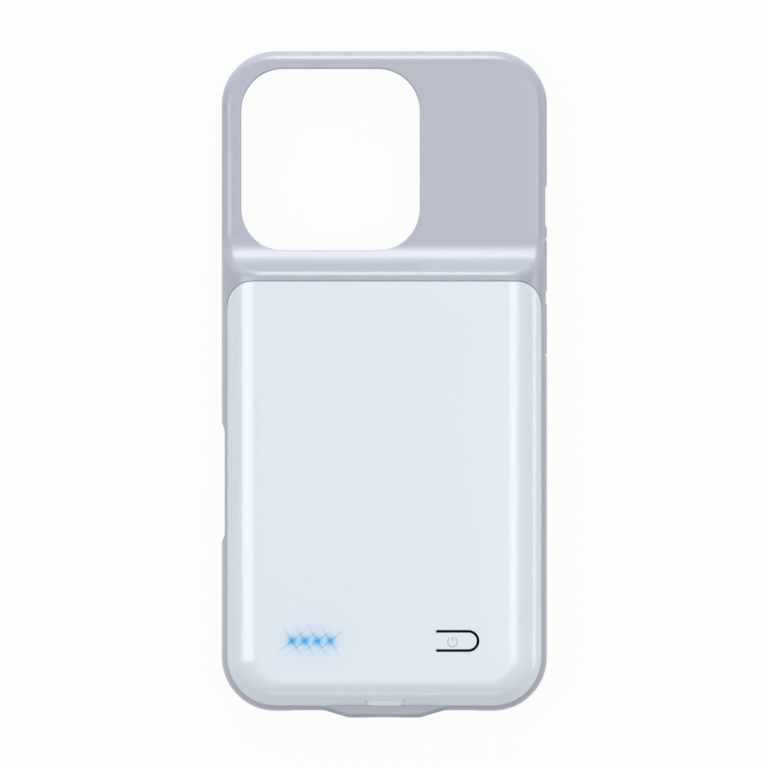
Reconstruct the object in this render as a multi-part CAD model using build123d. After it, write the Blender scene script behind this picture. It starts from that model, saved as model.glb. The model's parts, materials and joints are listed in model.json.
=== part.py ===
from build123d import *
import os
from math import atan2, cos, radians, sin, sqrt, tan

# Battery charging case: a soft frame that grips a phone, with a cell and its electronics under a
# glossy cover on the back. It lies on its front rim with the back up: +Z leaves the back, +Y points
# to the phone's top edge, and the origin lies under the middle of the case, in the rim's plane.
# All sizes are in millimetres, all angles in degrees.

# Phone that the case takes
phone_width = 71.6
phone_length = 147.6
phone_thickness = 7.8
phone_corner = 10.5
phone_clearance = 0.2

# Frame walls and outer form
side_wall = 1.8
foot_wall = 3.55
back_wall = 3.4
lip_height = 1.2
lip_overlap = 1.8
lip_edge_bevel = 0.4
front_edge_radius = 1.2
flank_radius = 9.0
rim_radius = 2.6
crest_from_top = 51.5
ramp_angle = 58.0
scoop_radius = 9.6
ramp_wall = 1.8
crest_wall = 2.0
core_count = 4
core_rib = 1.2

# Chin below the foot, around the charging socket
chin_depth = 1.5
chin_flat = 15.8
chin_ramp = 6.45
chin_bend_share = 0.07
chin_lift = 1.2
chin_edge_radius = 1.2

# Camera window in the thin upper back
camera_width = 41.5
camera_length = 42.2
camera_corner = 9.8
camera_from_top = 4.15
camera_from_left = 4.55
camera_edge_radius = 0.4

# Keys: lengths, and the distance of each one's middle from the case's top
volume_up_length = 12.1
volume_up_from_top = 49.9
volume_down_length = 11.9
volume_down_from_top = 64.6
volume_recess_depth = 0.26
volume_recess_margin = 0.25
volume_recess_ramp = 0.4
side_key_length = 18.9
side_key_from_top = 57.2
key_height = 3.4
key_gap = 0.15
key_flange_width = 0.8
key_flange_thickness = 0.6
key_flange_gap = 0.05
key_inner_gap = 0.15
key_edge_bevel = 0.25

# Open finger cut-outs in the side walls
action_from_top = 36.1
action_flat = 8.0
action_ramp = 1.4
action_depth = 0.4
action_window_length = 7.6
control_from_top = 100.3
control_flat = 23.3
control_ramp = 2.8
control_depth = 0.72
control_window_length = 22.0
cutout_height = 5.0
recess_bend_share = 0.23

# Sound slots through the foot, in a shallow recess on both sides of the chin
sound_slot_length = 9.0
sound_slot_height = 2.2
sound_slot_middle = 17.0
sound_recess_flat = 41.4
sound_recess_ramp = 1.4
sound_recess_depth = 0.16

# Floor plate of the battery bay
plate_thickness = 1.0
plate_gap = 0.15
plate_overlap = 2.1
flange_thickness = 0.6
flange_width = 1.6
fence_thickness = 0.8
fence_height = 2.0
fence_leg = 5.0

# Cell, its tape and foam
cell_thickness = 5.9
cell_edge_radius = 1.2
cell_side_gap = 5.05
cell_top_gap = 3.5
cell_fit = 0.2
tape_thickness = 0.3
tape_margin = 2.0
foam_thickness = 0.5
foam_margin = 6.0

# Cover over the battery bay
cover_wall = 1.5
cover_skirt = 1.4
cover_inset = 1.35
cover_groove = 0.1
cover_corner = 5.8
cover_edge_radius = 0.25
crest_strip = 2.0

# Relief in the cover's foot flank, above the socket
relief_width_foot = 7.5
relief_width_back = 9.5
relief_length = 1.95
relief_edge_depth = 0.25
relief_tilt = 29.0
relief_pad_side = 0.85
relief_pad_length = 3.5

# Screws and their bosses
screw_diameter = 1.4
screw_head_diameter = 2.6
screw_head_height = 0.6
plate_screw_length = 4.0
board_screw_length = 2.1
screw_hole_gap = 0.15
thread_gap = 0.04
boss_diameter = 3.8
boss_from_skirt = 2.35
boss_end_inset = 7.0
boss_rows = 3

# Row of lights and the power tab, across the cover
row_from_foot = 16.37
led_count = 4
led_pitch = 2.96
led_middle = -16.97
led_length = 1.6
led_width = 0.8
led_height = 0.6
guide_pin_diameter = 1.0
guide_pin_gap = 0.03
guide_leg_diameter = 1.6
guide_leg_gap = 0.1
guide_bar_width = 2.4
guide_bar_thickness = 1.5
tab_middle = 15.8
tab_length = 12.5
tab_width = 5.1
tab_slot = 0.64
tab_root_gap = 0.08
tab_root_length = 2.45
tab_post_diameter = 2.2
tab_post_from_end = 3.05

# Switch under the power tab
switch_side = 4.5
switch_height = 1.5
plunger_diameter = 2.0
plunger_gap = 0.1
plunger_rise = 0.5
plunger_stem = 0.6
plunger_room = 0.35
press_gap = 0.05

# Main board
board_thickness = 0.8
board_lift = 0.8
board_length = 19.5
board_from_side = 10.8
board_gap = 0.2
board_corner = 6.0
board_screw_inset = 2.6
board_peg_diameter = 3.0
board_peg_inset = 7.0
board_peg_from_foot = 3.0
standoff_diameter = 3.6

# Charging socket in the chin
socket_width = 8.94
socket_height = 3.16
socket_wall = 0.3
socket_length = 7.3
socket_inset = 0.43
socket_gap = 0.18
socket_block_length = 1.5
socket_tongue_width = 6.69
socket_tongue_thickness = 0.7
socket_tongue_inset = 0.8

# Plug that enters the phone
plug_width = 8.25
plug_height = 2.4
plug_wall = 0.25
plug_reach = 6.5
plug_fit = 0.05
plug_slot_width = 6.9
plug_slot_height = 0.9
plug_slot_depth = 5.6
plug_insert_inset = 0.3
collar_width = 11.0
collar_height = 4.4
collar_depth = 1.4
collar_gap = 0.1
plug_board_width = 15.0
plug_board_thickness = 0.8
plug_board_drop = 2.3
plug_board_gap = 0.2
plug_ear_width = 2.3

# Protection board, cell tabs and leads
protection_width = 30.0
protection_length = 3.2
protection_thickness = 0.8
protection_gap = 0.8
protection_room = 6.5
tab_strip_width = 4.0
tab_strip_thickness = 0.2
tab_strip_spacing = 18.0
tab_strip_height = 2.9
tab_strip_foot = 1.8
lead_diameter = 1.2
lead_spacing = 6.0
lead_overlap = 2.2
lead_bend = 2.5

# Chips and coil on the main board
controller_side = 5.0
controller_height = 0.9
controller_from_row = -0.8
charger_side = 4.0
charger_height = 0.8
charger_x = 8.5
charger_from_row = 2.7
inductor_side = 6.6
inductor_height = 3.0
inductor_corner = 1.0
inductor_from_row = -5.3
capacitor_length = 1.6
capacitor_width = 0.8
capacitor_height = 0.8
capacitor_pitch = 2.4
capacitor_columns = 4
capacitor_rows = 2
capacitor_x = -8.5
capacitor_from_row = -6.3

# Room that a cutting shape reaches past the face it leaves
past = 2.0

# Plan of the phone's bay and of the case
bay_width = phone_width + 2 * phone_clearance
bay_length = phone_length + 2 * phone_clearance
bay_corner = phone_corner + phone_clearance
case_width = bay_width + 2 * side_wall
case_length = side_wall + bay_length + foot_wall
case_corner = bay_corner + side_wall
y_top = (case_length + chin_depth) / 2
y_foot = y_top - case_length
y_chin = y_foot - chin_depth
y_middle = (y_top + y_foot) / 2
bay_top = y_top - side_wall
bay_foot = y_foot + foot_wall
bay_middle = (bay_top + bay_foot) / 2
crest_y = y_top - crest_from_top
row_y = y_foot + row_from_foot

# Heights above the front rim
z_back = lip_height + phone_thickness + phone_clearance
z_thin = z_back + back_wall
z_plate = z_back + plate_thickness
z_ledge = z_plate + flange_thickness
z_cell = z_plate + tape_thickness
z_roof = z_cell + cell_thickness + foam_thickness
z_top = z_roof + cover_wall
z_board = z_plate + board_lift
z_board_top = z_board + board_thickness
z_phone = lip_height + phone_thickness / 2
z_socket = z_board + board_thickness / 2

# Plan of the cover and of the bay inside it
cover_top = crest_y - crest_strip
cover_foot = y_foot + cover_inset
inner_half = case_width / 2 - cover_inset - cover_skirt
inner_top = cover_top - cover_skirt
inner_foot = cover_foot + cover_skirt
plate_top = cover_top + plate_overlap
board_width = case_width - 2 * board_from_side
board_foot = inner_foot + board_gap
board_top = board_foot + board_length
cell_half = inner_half - cell_side_gap
cell_top = inner_top - cell_top_gap
cell_foot = board_top + protection_room
cell_length = cell_top - cell_foot
cell_middle = (cell_top + cell_foot) / 2
plug_board_front = bay_foot - collar_depth
plug_board_back = plug_board_front - plug_board_thickness
ear_inner = plug_board_width / 2 - plug_ear_width
post_x = tab_middle + tab_length / 2 - tab_post_from_end
plunger_top = z_board_top + switch_height + plunger_rise


def flank_height(inset):
    """Height of the rounded flank at a distance in from the case's outline."""
    return z_top - flank_radius + sqrt(flank_radius ** 2 - (flank_radius - inset) ** 2)


def prism(plan, bottom, top):
    """Plan raised between two heights."""
    return Pos(0, 0, bottom) * extrude(plan, top - bottom)


def side_prism(face, x_from, x_to):
    """Face drawn in Y and Z, drawn out along X."""
    return Pos(x_from, 0, 0) * extrude(Plane.YZ * face, x_to - x_from)


def foot_prism(face, y_from, y_to):
    """Face drawn in X and Z, drawn out along Y towards the foot."""
    return Pos(0, y_from, 0) * extrude(Plane.XZ * face, y_from - y_to)


def ramped_pad(flat, ramp, depth, bend_share):
    """Plan of a low pad on the line y = 0: a flat middle, and ramps that start and end in a bend."""
    start = flat / 2
    end = start + ramp
    bend = bend_share * ramp
    slope = atan2(depth, ramp - 2 * bend)
    reach = bend * (1 + cos(slope))
    low = (end - reach, bend * sin(slope))
    high = (start + reach, depth - bend * sin(slope))
    rise = TangentArc((end, 0), low, tangent=(-1, 0))
    crown = TangentArc(high, (start, depth), tangent=(-cos(slope), sin(slope)))
    base = Polyline((0, depth), (0, -past), (end, -past), (end, 0))
    half = make_face([rise, Line(low, high), crown, Line((start, depth), (0, depth)), base])
    return half + mirror(half, Plane.YZ)


def cover_plan(growth):
    """Plan of the cover, grown outwards by the same amount on every side."""
    width = case_width - 2 * (cover_inset - growth)
    length = cover_top - cover_foot + 2 * growth
    plan = Pos(0, (cover_top + cover_foot) / 2) * Rectangle(width, length)
    plan = fillet(plan.vertices().group_by(Axis.Y)[0], case_corner - cover_inset + growth)
    return fillet(plan.vertices().group_by(Axis.Y)[-1], cover_corner + growth)


def bay_plan(inset):
    """Plan of the phone's bay, drawn in by the same amount on every side."""
    plan = RectangleRounded(bay_width - 2 * inset, bay_length - 2 * inset, bay_corner - inset)
    return Pos(0, bay_middle) * plan


def flanked_block(inset):
    """The case's plan raised to the back and rounded over its flanks, drawn in by inset."""
    plan = RectangleRounded(case_width - 2 * inset, case_length - 2 * inset, case_corner - inset)
    block = Pos(0, y_middle) * extrude(plan, z_top - inset)
    return fillet(block.faces().sort_by(Axis.Z)[-1].edges(), flank_radius - inset)


def ramp_y(height, inset):
    """Place along Y of the ramp's straight face at a height, drawn in by inset from the face."""
    slope = radians(ramp_angle)
    return crest_y + (z_top - height) / tan(slope) - inset / sin(slope)


def case_form():
    """Outer form: thick over the battery, with a hollow ramp down to the thin upper back."""
    block = flanked_block(0)
    block = fillet(block.faces().sort_by(Axis.Z)[0].edges(), front_edge_radius)
    sky = z_top + past
    far = y_top + past
    profile = make_face(
        Polyline((ramp_y(sky, 0), sky), (ramp_y(z_thin, 0), z_thin), (far, z_thin), (far, sky), close=True)
    )
    hollow_corner = profile.vertices().group_by(Axis.Y)[0].sort_by(Axis.X)[0]
    profile = fillet(hollow_corner, scoop_radius)
    scoop = side_prism(profile, -case_width, case_width)
    form = block - scoop
    rim = new_edges(block, scoop, combined=form)
    return fillet(rim, rim_radius)


def chin():
    """Low swelling that rises from the foot's recess and surrounds the charging socket."""
    pad = ramped_pad(chin_flat, chin_ramp, chin_depth + sound_recess_depth, chin_bend_share)
    plan = Pos(0, y_foot + sound_recess_depth) * Rot(0, 0, 180) * pad
    swelling = prism(plan, chin_lift, flank_height(cover_inset - cover_groove))
    ends = swelling.faces().filter_by(Axis.Z)
    outline = ends.edges().filter_by(lambda edge: edge.center().Y < y_foot + sound_recess_depth)
    return fillet(outline, chin_edge_radius)


def ramp_cores():
    """Hollows under the ramp, open to the battery bay, with ribs left between them."""
    start = cover_top
    ceiling = z_top - crest_wall
    profile = make_face(
        Polyline(
            (start, z_ledge),
            (ramp_y(z_ledge, ramp_wall), z_ledge),
            (ramp_y(ceiling, ramp_wall), ceiling),
            (start, ceiling),
            close=True,
        )
    )
    span = 2 * (case_width / 2 - flank_radius)
    pitch = (span + core_rib) / core_count
    core = side_prism(profile, -(pitch - core_rib) / 2, (pitch - core_rib) / 2)
    return [Pos((i - (core_count - 1) / 2) * pitch, 0, 0) * core for i in range(core_count)]


def sound_recess():
    """Shallow recess along the foot, over its whole height."""
    plan = ramped_pad(sound_recess_flat, sound_recess_ramp, sound_recess_depth, recess_bend_share)
    return prism(Pos(0, y_foot) * plan, -past, z_top)


def wall_recess(side, from_top, flat, ramp, depth):
    """Shallow recess over the whole height of one side wall."""
    plan = Rot(0, 0, 90 * side) * ramped_pad(flat, ramp, depth, recess_bend_share)
    return prism(Pos(side * case_width / 2, y_top - from_top) * plan, -past, z_top)


def wall_pill(side, from_top, length, height, x_from, x_to):
    """Pill-shaped block lying along one side wall, halfway up the phone."""
    face = Pos(y_top - from_top, z_phone) * SlotOverall(length, height)
    return side_prism(face, side * x_from, side * x_to)


def key_window(side, from_top, length):
    """Window for a key's cap, and the wider pocket behind it for the key's flange."""
    wall_in = bay_width / 2
    wall_out = case_width / 2
    play = 2 * key_gap
    flange = 2 * key_flange_width + play
    pocket_floor = wall_in + key_inner_gap + key_flange_thickness + key_flange_gap
    window = wall_pill(side, from_top, length + play, key_height + play, wall_in, wall_out + past)
    pocket = wall_pill(side, from_top, length + flange, key_height + flange, wall_in - past, pocket_floor)
    return window + pocket


def key(side, from_top, length):
    """Key cap level with the case's side, with a flange that keeps it in the wall."""
    flange_in = bay_width / 2 + key_inner_gap
    flange_out = flange_in + key_flange_thickness
    wall_out = case_width / 2
    cap = wall_pill(side, from_top, length, key_height, flange_in, wall_out)
    cap = chamfer(cap.faces().sort_by(Axis.X)[-1 if side > 0 else 0].edges(), key_edge_bevel)
    wide = 2 * key_flange_width
    return cap + wall_pill(side, from_top, length + wide, key_height + wide, flange_in, flange_out)


def camera_window():
    """Opening for the phone's camera."""
    middle_x = -case_width / 2 + camera_from_left + camera_width / 2
    middle_y = y_top - camera_from_top - camera_length / 2
    plan = Pos(middle_x, middle_y) * RectangleRounded(camera_width, camera_length, camera_corner)
    return prism(plan, z_back - past, z_top)


def socket_port():
    """Opening in the chin and foot around the charging socket."""
    face = Pos(0, z_socket) * SlotOverall(socket_width + 2 * socket_gap, socket_height + 2 * socket_gap)
    return foot_prism(face, bay_foot + past, y_chin - past)


def plug_seat():
    """Seat of the plug's collar in the foot, and the upright pocket for the plug's board behind it."""
    collar_face = SlotOverall(collar_width + 2 * collar_gap, collar_height + 2 * collar_gap)
    seat = foot_prism(Pos(0, z_phone) * collar_face, bay_foot + past, plug_board_front)
    bottom = z_phone - plug_board_drop - plug_board_gap
    pocket_face = Rectangle(plug_board_width + 2 * plug_board_gap, z_ledge - bottom)
    pocket_back = plug_board_back - plug_board_gap
    return seat + foot_prism(Pos(0, (bottom + z_ledge) / 2) * pocket_face, plug_board_front, pocket_back)


def make_frame():
    """Soft frame in one moulding: walls, front lip, thin upper back, ramp, crest, bay ledge and chin."""
    body = case_form() - sound_recess() + chin()
    window = camera_window()
    body = fillet(new_edges(body, window, combined=body - window), camera_edge_radius)
    mouth = prism(bay_plan(lip_overlap), -past, lip_height)
    body = chamfer(new_edges(body, mouth, combined=body - mouth), lip_edge_bevel)
    body -= prism(bay_plan(0), lip_height, z_back)
    plate_limit = Pos(0, plate_top - bay_length / 2) * Rectangle(bay_width, bay_length)
    body -= prism(bay_plan(0) & plate_limit, z_back, z_plate)
    body -= prism(cover_plan(-flange_width), z_plate, z_ledge)
    body -= prism(cover_plan(cover_groove), z_ledge, z_top + past)
    body -= ramp_cores()
    first = volume_up_from_top - volume_up_length / 2 - volume_recess_margin
    last = volume_down_from_top + volume_down_length / 2 + volume_recess_margin
    body -= wall_recess(1, (first + last) / 2, last - first, volume_recess_ramp, volume_recess_depth)
    body -= wall_recess(1, action_from_top, action_flat, action_ramp, action_depth)
    body -= wall_recess(-1, control_from_top, control_flat, control_ramp, control_depth)
    body -= key_window(1, volume_up_from_top, volume_up_length)
    body -= key_window(1, volume_down_from_top, volume_down_length)
    body -= key_window(-1, side_key_from_top, side_key_length)
    wall_in = bay_width / 2 - past
    wall_out = case_width / 2 + past
    body -= wall_pill(1, action_from_top, action_window_length, cutout_height, wall_in, wall_out)
    body -= wall_pill(-1, control_from_top, control_window_length, cutout_height, wall_in, wall_out)
    for side in (-1, 1):
        slot = Pos(side * sound_slot_middle, z_phone) * SlotOverall(sound_slot_length, sound_slot_height)
        body -= foot_prism(slot, bay_foot + past, y_foot - past)
    body -= socket_port()
    body -= plug_seat()
    return body


def boss_places():
    """Places of the screw bosses, in a row down each side of the cell."""
    span = cell_length - 2 * boss_end_inset
    boss_x = inner_half - boss_from_skirt
    rows = [cell_middle + span * (i / (boss_rows - 1) - 0.5) for i in range(boss_rows)]
    return [(side * boss_x, y) for side in (-1, 1) for y in rows]


def board_screw_places():
    """Places of the two screws near the main board's upper corners."""
    x = board_width / 2 - board_screw_inset
    y = board_top - board_screw_inset
    return [(-x, y), (x, y)]


def board_peg_places():
    """Places of the two plain pegs under the main board's lower edge."""
    x = board_width / 2 - board_peg_inset
    y = board_foot + board_peg_from_foot
    return [(-x, y), (x, y)]


def countersunk(gap, length):
    """Countersunk screw form standing on its head's face, grown by a radial gap."""
    head = Pos(0, 0, screw_head_height / 2) * Cone(
        screw_head_diameter / 2 + gap, screw_diameter / 2 + gap, screw_head_height
    )
    return head + prism(Circle(screw_diameter / 2 + gap), 0, length)


def make_plate():
    """Floor plate of the battery bay, with standoffs for the board and fences round the cell."""
    limit = Pos(0, plate_top - plate_gap - bay_length / 2) * Rectangle(bay_width, bay_length)
    plate = prism(bay_plan(plate_gap) & limit, z_back, z_plate)
    for x, y in boss_places():
        plate -= Pos(x, y, z_back) * countersunk(screw_hole_gap, plate_thickness + past)
    fence_x = cell_half + cell_fit + fence_thickness / 2
    for side in (-1, 1):
        for end, y_end in ((1, cell_top), (-1, cell_foot)):
            outer_y = y_end + end * (cell_fit + fence_thickness / 2)
            along = Pos(side * fence_x, outer_y - end * fence_leg / 2) * Rectangle(
                fence_thickness, fence_leg + fence_thickness
            )
            across = Pos(side * (fence_x - fence_leg / 2), outer_y) * Rectangle(
                fence_leg + fence_thickness, fence_thickness
            )
            plate += prism(along + across, z_plate, z_plate + fence_height)
    protection_middle = cell_foot - protection_gap - protection_length / 2
    shelf = Pos(0, protection_middle) * Rectangle(protection_width, protection_length)
    plate += prism(shelf, z_plate, z_cell)
    for x, y in board_peg_places():
        plate += prism(Pos(x, y) * Circle(board_peg_diameter / 2), z_plate, z_board)
    for x, y in board_screw_places():
        plate += prism(Pos(x, y) * Circle(standoff_diameter / 2), z_plate, z_board)
        bore = Pos(x, y) * Circle(screw_diameter / 2 + thread_gap)
        plate -= prism(bore, z_board_top - board_screw_length, z_board + past)
    socket_bottom = z_socket - socket_height / 2
    pocket = Pos(0, y_chin + socket_inset + socket_length / 2) * Rectangle(
        socket_width + 2 * socket_gap, socket_length + 2 * socket_gap
    )
    return plate - prism(pocket, socket_bottom - socket_gap, z_plate + past)


def tab_hole():
    """Pill-shaped opening in the cover's roof that the power tab fills."""
    return Pos(tab_middle, row_y) * SlotOverall(tab_length, tab_width)


def relief():
    """Tapered relief above the socket, cut with a flat tilted floor."""
    edge = (0, cover_foot, flank_height(cover_inset) - relief_edge_depth)
    tilt = radians(relief_tilt)
    floor = Plane(origin=edge, x_dir=(1, 0, 0), z_dir=(0, -sin(tilt), cos(tilt)))
    length = relief_length / cos(tilt)
    lead_in = past / length * (relief_width_back - relief_width_foot)
    outline = make_face(
        Polyline(
            ((relief_width_foot - lead_in) / 2, -past),
            (relief_width_back / 2, length),
            (-relief_width_back / 2, length),
            (-(relief_width_foot - lead_in) / 2, -past),
            close=True,
        )
    )
    return extrude(floor * outline, z_top - z_roof + past)


def make_cover():
    """Glossy cover: a lid that follows the case's rounded back, with a skirt down to the frame's ledge."""
    block = flanked_block(0)
    sleeve = prism(cover_plan(0), z_ledge, z_top + past)
    lid = fillet(new_edges(block, sleeve, combined=block & sleeve), cover_edge_radius)
    lid -= flanked_block(cover_wall) & prism(cover_plan(-cover_skirt), z_ledge - past, z_top)
    trim = flanked_block(cover_wall / 2)
    socket_roof = z_socket + socket_height / 2 + 2 * socket_gap
    pad = Rectangle(relief_width_back + 2 * relief_pad_side, relief_pad_length)
    pad_middle = inner_foot + (relief_pad_length - cover_skirt) / 2
    lid += prism(Pos(0, pad_middle) * pad, socket_roof, z_top) & trim
    for x, y in boss_places():
        lid += prism(Pos(x, y) * Circle(boss_diameter / 2), z_plate, z_top) & trim
        bore = Pos(x, y) * Circle(screw_diameter / 2 + thread_gap)
        lid -= prism(bore, z_plate - past, z_back + plate_screw_length + thread_gap)
    lid -= relief()
    lid -= prism(tab_hole(), z_roof - past, z_top + past)
    for x in led_places():
        lid -= prism(Pos(x, row_y) * Circle(guide_pin_diameter / 2), z_roof - past, z_top + past)
    notch = Rectangle(plug_board_width + 4 * plug_board_gap, cover_skirt + past)
    return lid - prism(Pos(0, cover_foot + cover_skirt / 2) * notch, z_ledge - past, socket_roof)


def make_tab():
    """Power tab: a tongue rooted at its left end, free in its slot, with a post under its free end."""
    left = tab_middle - tab_length / 2
    middle = Pos(tab_middle, row_y)
    free = middle * SlotOverall(tab_length - 2 * tab_slot, tab_width - 2 * tab_slot)
    whole = middle * SlotOverall(tab_length - 2 * tab_root_gap, tab_width - 2 * tab_root_gap)
    root = whole & Pos(left + tab_root_length / 2, row_y) * Rectangle(tab_root_length, tab_width)
    tongue = prism(free + root, z_roof, z_top)
    post = Pos(post_x, row_y) * Circle(tab_post_diameter / 2)
    return tongue + prism(post, plunger_top + press_gap, z_roof)


def make_switch():
    """Body of the switch under the tab, with the guide for its plunger."""
    top = z_board_top + switch_height
    body = prism(Pos(post_x, row_y) * Rectangle(switch_side, switch_side), z_board_top, top)
    guide = Pos(post_x, row_y) * Circle(plunger_diameter / 2 + plunger_gap)
    return body - prism(guide, top - plunger_stem - plunger_room, top + past)


def make_plunger():
    """Plunger of the switch."""
    stem = Pos(post_x, row_y) * Circle(plunger_diameter / 2)
    return prism(stem, z_board_top + switch_height - plunger_stem, plunger_top)


def led_places():
    """Places of the lights along the row."""
    return [led_middle + (i - (led_count - 1) / 2) * led_pitch for i in range(led_count)]


def make_led(x):
    """Small light on the main board."""
    return prism(Pos(x, row_y) * Rectangle(led_width, led_length), z_board_top, z_board_top + led_height)


def make_guide():
    """Clear guide: a bar under the roof, with a pin through the roof and a leg down to each light."""
    bar_length = (led_count - 1) * led_pitch + guide_bar_width
    bar = Pos(led_middle, row_y) * SlotOverall(bar_length, guide_bar_width)
    bar_bottom = z_roof - guide_bar_thickness
    guide = prism(bar, bar_bottom, z_roof)
    for x in led_places():
        pin = Pos(x, row_y) * Circle(guide_pin_diameter / 2 - guide_pin_gap)
        leg = Pos(x, row_y) * Circle(guide_leg_diameter / 2)
        guide += prism(pin, z_roof, z_top)
        guide += prism(leg, z_board_top + led_height + guide_leg_gap, bar_bottom)
    return guide


def make_main_board():
    """Main board, notched for the socket, with two tongues that reach over the plug's board."""
    plan = Pos(0, (board_top + board_foot) / 2) * Rectangle(board_width, board_length)
    plan = fillet(plan.vertices().group_by(Axis.Y)[0], board_corner)
    tongue_reach = board_foot - plug_board_back
    tongue = Pos(0, board_foot - tongue_reach / 2) * Rectangle(plug_board_width, tongue_reach)
    socket_back = y_chin + socket_inset + socket_length
    notch_length = socket_back - plug_board_back + socket_gap + past
    notch = Pos(0, socket_back + socket_gap - notch_length / 2) * Rectangle(
        socket_width + 2 * socket_gap, notch_length
    )
    plan = plan + tongue - notch
    for x, y in board_screw_places():
        plan -= Pos(x, y) * Circle(screw_diameter / 2 + screw_hole_gap)
    return prism(plan, z_board, z_board_top)


def make_socket_shell():
    """Metal shell of the charging socket, open at both ends."""
    outer = SlotOverall(socket_width, socket_height)
    inner = SlotOverall(socket_width - 2 * socket_wall, socket_height - 2 * socket_wall)
    mouth = y_chin + socket_inset
    return foot_prism(Pos(0, z_socket) * (outer - inner), mouth + socket_length, mouth)


def make_socket_tongue():
    """Insulating block that closes the socket's back, with its contact tongue."""
    back = y_chin + socket_inset + socket_length
    block_face = SlotOverall(socket_width - 2 * socket_wall, socket_height - 2 * socket_wall)
    block = foot_prism(Pos(0, z_socket) * block_face, back, back - socket_block_length)
    tongue_face = Pos(0, z_socket) * Rectangle(socket_tongue_width, socket_tongue_thickness)
    return block + foot_prism(tongue_face, back, y_chin + socket_inset + socket_tongue_inset)


def make_plug_shell():
    """Metal shell of the phone plug, standing on its board."""
    outer = SlotOverall(plug_width, plug_height)
    inner = SlotOverall(plug_width - 2 * plug_wall, plug_height - 2 * plug_wall)
    return foot_prism(Pos(0, z_phone) * (outer - inner), bay_foot + plug_reach, plug_board_front)


def make_plug_insert():
    """Insulator inside the plug's shell, with the slot for the phone's contact tongue."""
    core = SlotOverall(plug_width - 2 * plug_wall, plug_height - 2 * plug_wall)
    tip = bay_foot + plug_reach - plug_insert_inset
    slot = Pos(0, z_phone) * Rectangle(plug_slot_width, plug_slot_height)
    insert = foot_prism(Pos(0, z_phone) * core, tip, plug_board_front)
    return insert - foot_prism(slot, tip + past, tip - plug_slot_depth)


def make_collar():
    """Collar that closes the foot around the plug, level with the bay's wall."""
    outer = SlotOverall(collar_width, collar_height)
    inner = SlotOverall(plug_width + 2 * plug_fit, plug_height + 2 * plug_fit)
    return foot_prism(Pos(0, z_phone) * (outer - inner), bay_foot, plug_board_front)


def make_plug_board():
    """Upright board behind the plug, with an ear on each side of the socket up to the main board."""
    bottom = z_phone - plug_board_drop
    face = Pos(0, (bottom + z_board) / 2) * Rectangle(plug_board_width, z_board - bottom)
    notch_floor = z_socket - socket_height / 2 - 2 * socket_gap
    notch_top = z_board + past
    notch = Pos(0, (notch_floor + notch_top) / 2) * Rectangle(2 * ear_inner, notch_top - notch_floor)
    return foot_prism(face - notch, plug_board_front, plug_board_back)


def make_cell():
    """Pouch cell with rounded long edges and flat ends."""
    face = RectangleRounded(2 * cell_half, cell_thickness, cell_edge_radius)
    return foot_prism(Pos(0, z_cell + cell_thickness / 2) * face, cell_top, cell_foot)


def cell_pad(margin, bottom, thickness):
    """Flat sheet under or over the cell."""
    plan = Rectangle(2 * (cell_half - margin), cell_length - 2 * margin)
    return prism(Pos(0, cell_middle) * plan, bottom, bottom + thickness)


def make_protection_board():
    """Narrow board at the cell's lower end."""
    middle = cell_foot - protection_gap - protection_length / 2
    plan = Pos(0, middle) * Rectangle(protection_width, protection_length)
    return prism(plan, z_cell, z_cell + protection_thickness)


def make_cell_tabs():
    """Two metal strips from the cell's end down to the protection board."""
    low = z_cell + protection_thickness
    high = z_cell + tab_strip_height
    bend = cell_foot - protection_gap
    thick = tab_strip_thickness
    profile = make_face(
        Polyline(
            (cell_foot, high),
            (bend - thick, high),
            (bend - thick, low + thick),
            (bend - tab_strip_foot, low + thick),
            (bend - tab_strip_foot, low),
            (bend, low),
            (bend, high - thick),
            (cell_foot, high - thick),
            close=True,
        )
    )
    strip = side_prism(profile, -tab_strip_width / 2, tab_strip_width / 2)
    return Part() + [Pos(side * tab_strip_spacing / 2, 0, 0) * strip for side in (-1, 1)]


def make_lead(x):
    """Insulated lead from the protection board over to the main board."""
    start = cell_foot - protection_gap - protection_length + lead_overlap
    end = board_top - lead_overlap
    low = z_cell + protection_thickness + lead_diameter / 2
    high = z_board_top + lead_diameter / 2
    edge = cell_foot - protection_gap - protection_length
    route = [(x, start, low), (x, edge, low), (x, board_top, high), (x, end, high)]
    path = FilletPolyline(*route, radius=lead_bend)
    return sweep(Plane(origin=(x, start, low), z_dir=(0, -1, 0)) * Circle(lead_diameter / 2), path)


def make_chip(x, from_row, side, height):
    """Square chip on the main board."""
    return prism(Pos(x, row_y + from_row) * Rectangle(side, side), z_board_top, z_board_top + height)


def make_inductor():
    """Moulded power coil with rounded corners."""
    plan = RectangleRounded(inductor_side, inductor_side, inductor_corner)
    place = Pos(charger_x, row_y + inductor_from_row)
    return prism(place * plan, z_board_top, z_board_top + inductor_height)


def make_capacitors():
    """Grid of small capacitors on the main board."""
    one = prism(Rectangle(capacitor_width, capacitor_length), z_board_top, z_board_top + capacitor_height)
    grid = GridLocations(capacitor_pitch, capacitor_pitch, capacitor_columns, capacitor_rows)
    return Part() + [Pos(capacitor_x, row_y + capacitor_from_row) * place * one for place in grid]


def make_plate_screws():
    """Countersunk screws from the phone's side through the plate into the cover's bosses."""
    screw = countersunk(0, plate_screw_length)
    return Part() + [Pos(x, y, z_back) * screw for x, y in boss_places()]


def make_board_screws():
    """Flat-head screws through the main board into the plate's standoffs."""
    shank = prism(Circle(screw_diameter / 2), -board_screw_length, 0)
    head = prism(Circle(screw_head_diameter / 2), 0, screw_head_height)
    return Part() + [Pos(x, y, z_board_top) * (shank + head) for x, y in board_screw_places()]


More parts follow.
